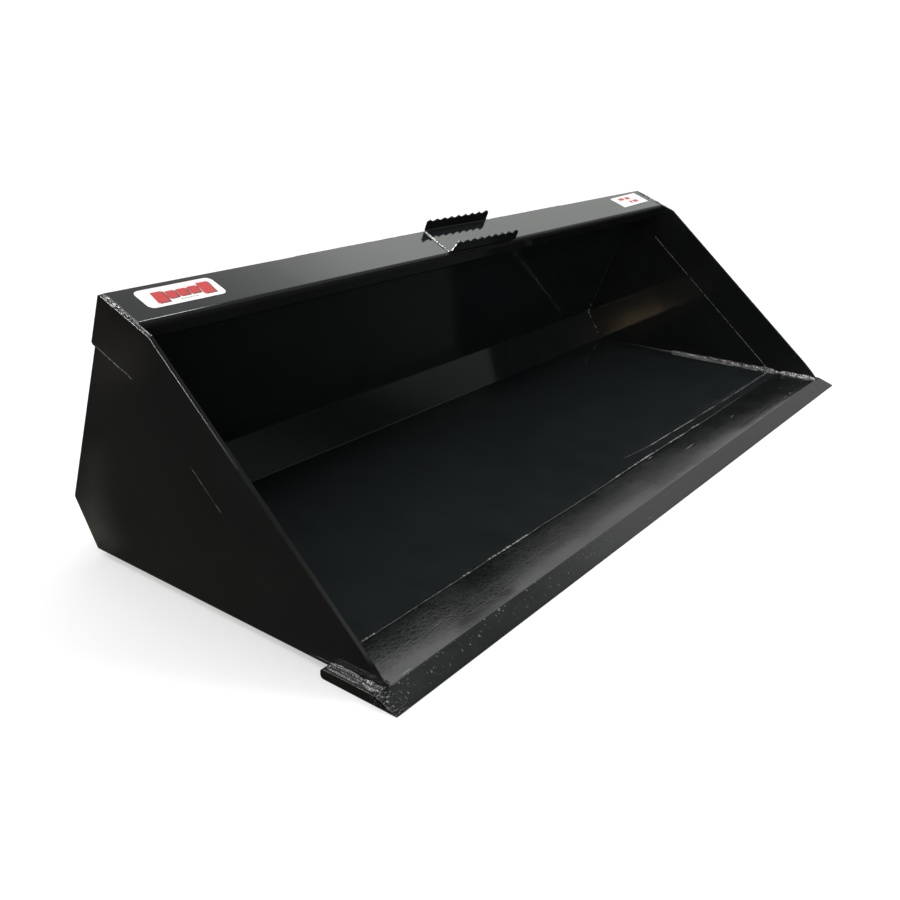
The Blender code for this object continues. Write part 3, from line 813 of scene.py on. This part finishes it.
def cut_edge(side, word):
    """Flame-cut front edge of a side cutter: drag lines across it and a burr on each rim."""
    loop = outline("side_cutter_" + word)
    top = HEAD_CORNER + CUT_ALONG * (-4.0 * MM)
    low = yz(60.0, 20.0)
    path = resampled(stretch_of(loop, top, low, yz(300.0, 250.0)), 0.00045)
    rng = random.Random(131 if side < 0 else 137)
    normal = [n if n.z > 0 else -n for n in normals_of(path, 1.0)]
    bag = Bag()
    columns = 14
    half = PLATE_T / 2.0 + 0.12 * MM
    centre = side * (PLATE_X - PLATE_T / 2.0)
    reach, ring = 0.0, columns + 3
    pitch = 5.5 * MM
    size = [rng.uniform(0.25, 1.2) for _ in range(4000)]
    total = sum((b - a).length for a, b in zip(path, path[1:]))
    for i, p in enumerate(path):
        if i:
            reach += (p - path[i - 1]).length
        # painted highlight: crests bright at the top of the edge, gone past mid-height
        fade = max(0.0, 1.0 - reach / (0.55 * total))
        edge = min(1.0, reach / 0.004, (total - reach) / 0.004)
        sway = noise.noise((reach * 45.0, 3.7, side)) * 0.5
        for k in range(columns + 1):
            t = k / columns
            drag = 0.9 * pitch * (t - 0.5) ** 2 * 4.0 + 0.3 * pitch * t
            phase = (reach + drag) / pitch + 2.0
            j = int(phase)
            f = phase - j
            lobe = 0.5 - 0.5 * math.cos(2.0 * math.pi * f)
            rim = abs(2.0 * t - 1.0)
            burr = math.exp(-((rim - 0.80) / 0.10) ** 2) * (0.22 + 0.16 * sway + 0.10 * lobe)
            drop = 0.45 * max(0.0, rim - 0.86) ** 2 / 0.0196
            rib = 0.07 + 0.24 * math.exp(-((reach / total - 0.36) / 0.16) ** 2)
            lip = 2.3 * max(0.0, 0.36 - t) * (0.85 + 0.3 * lobe * size[j])
            lip -= 2.3 * max(0.0, t - 0.90)
            high = (0.06 + rib * lobe * size[j] + burr * 0.4 * t + lip - drop * 0.4) * MM * edge
            spot = Vector((centre + (2.0 * t - 1.0) * half * side, p.y, p.z))
            bag.verts.append(spot + normal[i] * high)
            # rim lines painted brighter, a painted highlight
            glow = 1.1 if 0.70 < rim < 0.95 else 0.75
            bag.crest.append(lobe * size[j] * glow * (0.30 + 1.2 * fade))
        for t in (1.0, 0.0):
            spot = Vector((centre + (2.0 * t - 1.0) * half * side, p.y, p.z))
            bag.verts.append(spot - normal[i] * 0.9 * MM)
            bag.crest.append(0.0)
    rings = len(path)
    for r in range(rings - 1):
        here = r * ring
        for k in range(ring):
            j = (k + 1) % ring
            bag.faces.append((here + k, here + j, here + ring + j, here + ring + k))
    bag.faces.append(tuple(range(ring))[::-1])
    bag.faces.append(tuple(range((rings - 1) * ring, rings * ring)))
    bag.finish("cut_edge_" + word, CUT)
    cut_burr(side, word, path)


def cut_burr(side, word, path):
    """Thin burr along the inner rim of a cut edge, with a painted highlight on the left side
    only.
    """
    bag = Bag()
    rim = at_x(resampled(path, 0.01), side * (INNER_X + 0.3 * MM))
    tilt = [n if n.z > 0 else -n for n in normals_of(rim, 1.0)]
    out = X_AXIS * side
    cut = len(rim) // 3
    for first, last, glow in ((0, cut, (2.8, 2.4)), (cut, 2 * cut, (1.9, 0.4))):
        # painted highlight: crests bright on the left burr, near dull on the right
        glow = glow if side < 0 else (0.25, 0.1)
        part, lean = rim[first: last + 1], tilt[first: last + 1]
        bead(bag, part, [n * 0.4 * MM + out * 3.4 * MM for n in lean],
             [n * -1.6 * MM for n in lean], [n * 1.9 * MM for n in lean],
             pitch=5.5, seed=141 + first, depth=0.7, wobble=0.25, fade=glow, samples=5, across=6)
    bag.finish("cut_burr_" + word, BRIGHT_BEAD)


# ---------------------------------------------------------------- labels

INK_T = 0.06                                                 # ink thickness, millimetres


def print_shapes(name, label, shapes, mat, lift):
    """Thin ink shapes on a label; shapes are polygons in millimetres about its centre."""
    low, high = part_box(label)
    centre = (low + high) / 2.0
    base = centre + UPWARD * (0.2 + lift) * MM
    bm = bmesh.new()
    for shape in shapes:
        lower = [bm.verts.new(base + X_AXIS * a * MM + OUTWARD * b * MM) for a, b in shape]
        upper = [bm.verts.new(v.co + UPWARD * INK_T * MM) for v in lower]
        bm.faces.new(lower[::-1])
        bm.faces.new(upper)
        for i in range(len(shape)):
            j = (i + 1) % len(shape)
            bm.faces.new((lower[i], lower[j], upper[j], upper[i]))
    bmesh.ops.recalc_face_normals(bm, faces=bm.faces)
    mesh = bpy.data.meshes.new(name)
    bm.to_mesh(mesh)
    bm.free()
    return link(name, mesh, mat)


def slanted(x0, x1, y0, y1, slant=5.0):
    """Four corners of a block whose upper edge is shifted by slant."""
    return [(x0, y0), (x1, y0), (x1 + slant, y1), (x0 + slant, y1)]


def labels():
    """White labels with plain red blocks and bars in place of any lettering."""
    for word in ("left", "right"):
        refined("label_" + word, VINYL, 0.12, 2)
    blocks = [(-66, -40, -20, 17), (-36, -14, -12, 13), (-10, 13, -11, 13), (17, 39, -11, 14),
              (43, 71, -19, 20)]
    marks = [slanted(*block) for block in blocks]
    shade = [[(x + 3.0, y - 2.6) for x, y in m] for m in marks]
    print_shapes("label_left_shadow", "label_left", shade, DARK, 0.01)
    print_shapes("label_left_blocks", "label_left", marks, RED, 0.09)
    rule = [slanted(-14 + 7 * i, -9 + 7 * i, -21.5, -18.5, 0.0) for i in range(6)]
    print_shapes("label_left_rule", "label_left", rule, GREY, 0.01)
    rows = [(-56, -22, 5, 19), (-12, 18, 5, 19), (-14, 2, -17, -3), (10, 42, -17, -3)]
    small = [slanted(a, b, c, d, 2.0) for a, b, c, d in rows]
    print_shapes("label_right_blocks", "label_right", small, RED, 0.01)


# ---------------------------------------------------------------- stage

def stage_material(name, colour, glow):
    """Pale matt surface with a faint grain and a little light of its own."""
    mat, tree, shader = new_material(name)
    grain = noise_of(tree, coords(tree), 3.0, 2.0, 0.5)
    tint = mix_colour(tree, grain, colour, tuple(c * 0.985 for c in colour))
    tree.links.new(tint, shader.inputs["Base Color"])
    shader.inputs["Roughness"].default_value = 0.9
    shader.inputs["Specular IOR Level"].default_value = 0.1
    shader.inputs["Emission Color"].default_value = (1.0, 1.0, 1.0, 1.0)
    shader.inputs["Emission Strength"].default_value = glow
    return mat


def floor_and_backdrop():
    """Pale floor and sky dome; the gloss paint mirrors the room light instead of them."""
    mesh = bpy.data.meshes.new("floor")
    far = 45.0
    mesh.from_pydata([(-far, -far, 0), (far, -far, 0), (far, far, 0), (-far, far, 0)], [],
                     [(0, 1, 2, 3)])
    floor = bpy.data.objects.new("floor", mesh)
    mesh.materials.append(stage_material("floor_pale", (0.52, 0.52, 0.518), 0.44))
    bm = bmesh.new()
    bmesh.ops.create_icosphere(bm, subdivisions=4, radius=48.0)
    bmesh.ops.reverse_faces(bm, faces=bm.faces)
    dome_mesh = bpy.data.meshes.new("backdrop")
    bm.to_mesh(dome_mesh)
    bm.free()
    dome = bpy.data.objects.new("backdrop", dome_mesh)
    dome_mesh.materials.append(stage_material("backdrop_pale", (0.0, 0.0, 0.0), 1.02))
    for obj in (floor, dome):
        bpy.context.scene.collection.objects.link(obj)
        obj.visible_glossy = False
        obj.visible_diffuse = False
        obj.visible_shadow = False


def half_of(tree, source):
    """-1 to 1 brought to 0 to 1."""
    made = maths(tree, "MULTIPLY_ADD", source, 0.5)
    made.node.inputs[2].default_value = 0.5
    return made


def spot_of(tree, where, centre, radius, colour, under):
    """Adds a soft round patch of light, seen in the given direction, to a room colour."""
    reach = tree.nodes.new("ShaderNodeVectorMath")
    reach.operation = "DISTANCE"
    reach.inputs[1].default_value = centre
    tree.links.new(where, reach.inputs[0])
    patch = ramp(tree, reach.outputs["Value"], [(0.0, colour), (radius, 0.0)])
    return mix_colour(tree, 1.0, under, patch, "ADD")


def surroundings():
    """Room light by direction: bright half way up behind, dim in front, near dark below.

    The small patches added to it give single highlights at the photograph's angle.
    """
    world = bpy.data.worlds.new("room")
    bpy.context.scene.world = world
    world.use_nodes = True
    tree = world.node_tree
    background = tree.nodes["Background"]
    where = tree.nodes.new("ShaderNodeTexCoord").outputs["Generated"]
    split = tree.nodes.new("ShaderNodeSeparateXYZ")
    tree.links.new(where, split.inputs[0])
    y, z = split.outputs[1], split.outputs[2]
    depth = ramp(tree, half_of(tree, y), [
        (0.02, 0.05), (0.13, 0.09), (0.18, 0.10), (0.205, 0.015), (0.222, 0.015), (0.236, 0.14),
        (0.28, 0.25), (0.36, 0.30), (0.47, 0.25), (0.485, 0.28),
        (0.4925, 0.56), (0.525, 0.50), (0.56, 0.62), (0.60, 0.95),
        (0.66, 1.0), (0.72, 1.0), (0.80, 1.35)])
    height = ramp(tree, z, [
        (0.0, 0.05), (0.17, 0.10), (0.23, 0.80), (0.29, 0.98), (0.34, 1.10), (0.39, 1.00),
        (0.44, 1.12), (0.50, 1.28), (0.56, 1.60), (0.60, 1.55), (0.645, 0.92), (0.69, 0.56),
        (0.80, 0.45)])
    height = mix_colour(tree, 1.0, height, (0.985, 1.012, 0.985), "MULTIPLY")
    upper = mix_colour(tree, 1.0, height, depth, "MULTIPLY")
    above = spot_of(tree, where, (-0.873, -0.413, 0.259), 0.05, (31.0, 24.5, 13.5), upper)
    above = spot_of(tree, where, (0.607, -0.48, 0.63), 0.14, (0.35, 0.35, 0.33), above)
    ground = noise_of(tree, where, 3.2, 2.0, 0.5, 0.6)
    below = ramp(tree, ground, [(0.36, (0.032, 0.030, 0.026)), (0.66, (0.088, 0.085, 0.074))])
    for centre, radius, colour in (
            ((-0.4819, 0.8005, -0.3563), 0.018, (0.10, 0.095, 0.085)),
            ((-0.4775, 0.7975, -0.373), 0.018, (0.13, 0.125, 0.11)),
            ((-0.4680, 0.7935, -0.390), 0.018, (0.18, 0.175, 0.155)),
            ((-0.4610, 0.7880, -0.408), 0.017, (0.34, 0.335, 0.30)),
            ((-0.4570, 0.7815, -0.425), 0.017, (0.44, 0.43, 0.385)),
            ((-0.4600, 0.7745, -0.434), 0.015, (0.22, 0.215, 0.195)),
            ((-0.4667, 0.7665, -0.4413), 0.012, (0.22, 0.215, 0.20)),
            ((-0.5240, 0.8060, -0.275), 0.034, (0.09, 0.085, 0.075)),
            ((-0.5000, 0.8200, -0.250), 0.070, (0.05, 0.03, 0.02))):
        below = spot_of(tree, where, centre, radius, colour, below)
    rise = ramp(tree, half_of(tree, z), [(0.49, 0.0), (0.53, 1.0)])
    tree.links.new(mix_colour(tree, rise, below, above), background.inputs["Color"])
    world.cycles_visibility.camera = False


def lamp(name, spot, aim, size, size_y, power, glossy=True):
    """Rectangular lamp at a spot, turned towards its aim."""
    data = bpy.data.lights.new(name, "AREA")
    data.shape = "RECTANGLE"
    data.size, data.size_y = size, size_y
    data.energy = power
    obj = bpy.data.objects.new(name, data)
    obj.location = spot
    obj.rotation_euler = (Vector(aim) - Vector(spot)).to_track_quat("-Z", "Y").to_euler()
    obj.visible_camera = False
    obj.visible_glossy = glossy
    bpy.context.scene.collection.objects.link(obj)
    return obj


def far_lamp(name, toward, angle, energy):
    """A distant round lamp in the direction given, angle in degrees."""
    data = bpy.data.lights.new(name, "SUN")
    data.energy = energy
    data.angle = math.radians(angle)
    obj = bpy.data.objects.new(name, data)
    obj.rotation_euler = Vector(toward).to_track_quat("Z", "Y").to_euler()
    obj.visible_camera = False
    bpy.context.scene.collection.objects.link(obj)
    return obj


BROAD_PIECES = ("shell_finish", "top_beam_finish", "mount_plate_finish", "label_left_finish",
                "label_right_finish")


def keep_off(lamp_object, names):
    """Leaves the named broad sheets unlit by a lamp that is there for beads and edges."""
    skipped = bpy.data.collections.new(lamp_object.name + "_skips")
    for name in names:
        skipped.objects.link(bpy.data.objects[name])
    lamp_object.light_linking.receiver_collection = skipped
    for entry in skipped.collection_objects:
        entry.light_linking.link_state = "EXCLUDE"


def lights():
    """Soft lamps for the diffuse light; the tube and the glints show only in the gloss paint."""
    far_lamp("soft_sun", (0.25, 0.30, 1.0), 75.0, 2.3).visible_glossy = False
    far_lamp("front_fill", (-0.74, -0.58, 0.30), 60.0, 1.0).visible_glossy = False
    lamp("ceiling_lamp", (1.3, -0.7, 3.7), (-0.6, 0.0, 0.3), 1.0, 1.0, 45.0, glossy=False)
    tube = lamp("tube_lamp", (0.13, -1.74, 6.17), (-1.07, -0.30, 0.47), 2.0, 1.5, 450.0)
    tube.visible_diffuse = False
    glints = (
        ((0.57, 0.13, 0.81), 5.0, 24.0),
        ((0.11, 0.32, 0.94), 8.0, 60.0),
        ((-0.15, 0.20, 0.97), 7.0, 55.0),
        ((-0.45, 0.42, 0.79), 8.0, 60.0),
        ((-0.25, 0.60, 0.76), 7.0, 55.0),
        ((-0.55, 0.52, 0.65), 8.0, 55.0),
        ((-0.45, 0.00, 0.89), 7.0, 45.0),
    )
    for i, (toward, angle, radiance) in enumerate(glints):
        solid = math.pi * math.sin(math.radians(angle / 2.0)) ** 2
        glint = far_lamp("glint_%d" % i, toward, angle, radiance * solid)
        glint.visible_diffuse = False
        keep_off(glint, BROAD_PIECES if i else BROAD_PIECES[:1])


def camera():
    """Low three-quarter view from the front left."""
    data = bpy.data.cameras.new("camera")
    cam = bpy.data.objects.new("camera", data)
    bpy.context.scene.collection.objects.link(cam)
    spot = Vector((-2.0497, -1.3197, 0.9618))
    ahead = Vector((0.74338, 0.58219, -0.32931)).normalized()
    right = ahead.cross(Vector((0.0, 0.0, 1.0))).normalized()
    up = right.cross(ahead)
    roll = math.radians(0.489)
    across = right * math.cos(roll) + up * math.sin(roll)
    over = up * math.cos(roll) - right * math.sin(roll)
    cam.matrix_world = Matrix((
        (across.x, over.x, -ahead.x, spot.x),
        (across.y, over.y, -ahead.y, spot.y),
        (across.z, over.z, -ahead.z, spot.z),
        (0.0, 0.0, 0.0, 1.0),
    ))
    data.sensor_width = 36.0
    data.lens = 38.602
    data.shift_x, data.shift_y = 0.015744444, -0.050233333
    data.clip_start, data.clip_end = 0.05, 200.0
    bpy.context.scene.camera = cam


steelwork()
beads_bowl()
beads_nose()
beads_beam()
beads_seams()
beads_floor_seam()
beads_step()
beads_rear()
for side, word in SIDES:
    cut_edge(side, word)
labels()
floor_and_backdrop()
surroundings()
lights()
camera()
bpy.context.scene.view_settings.view_transform = "Standard"
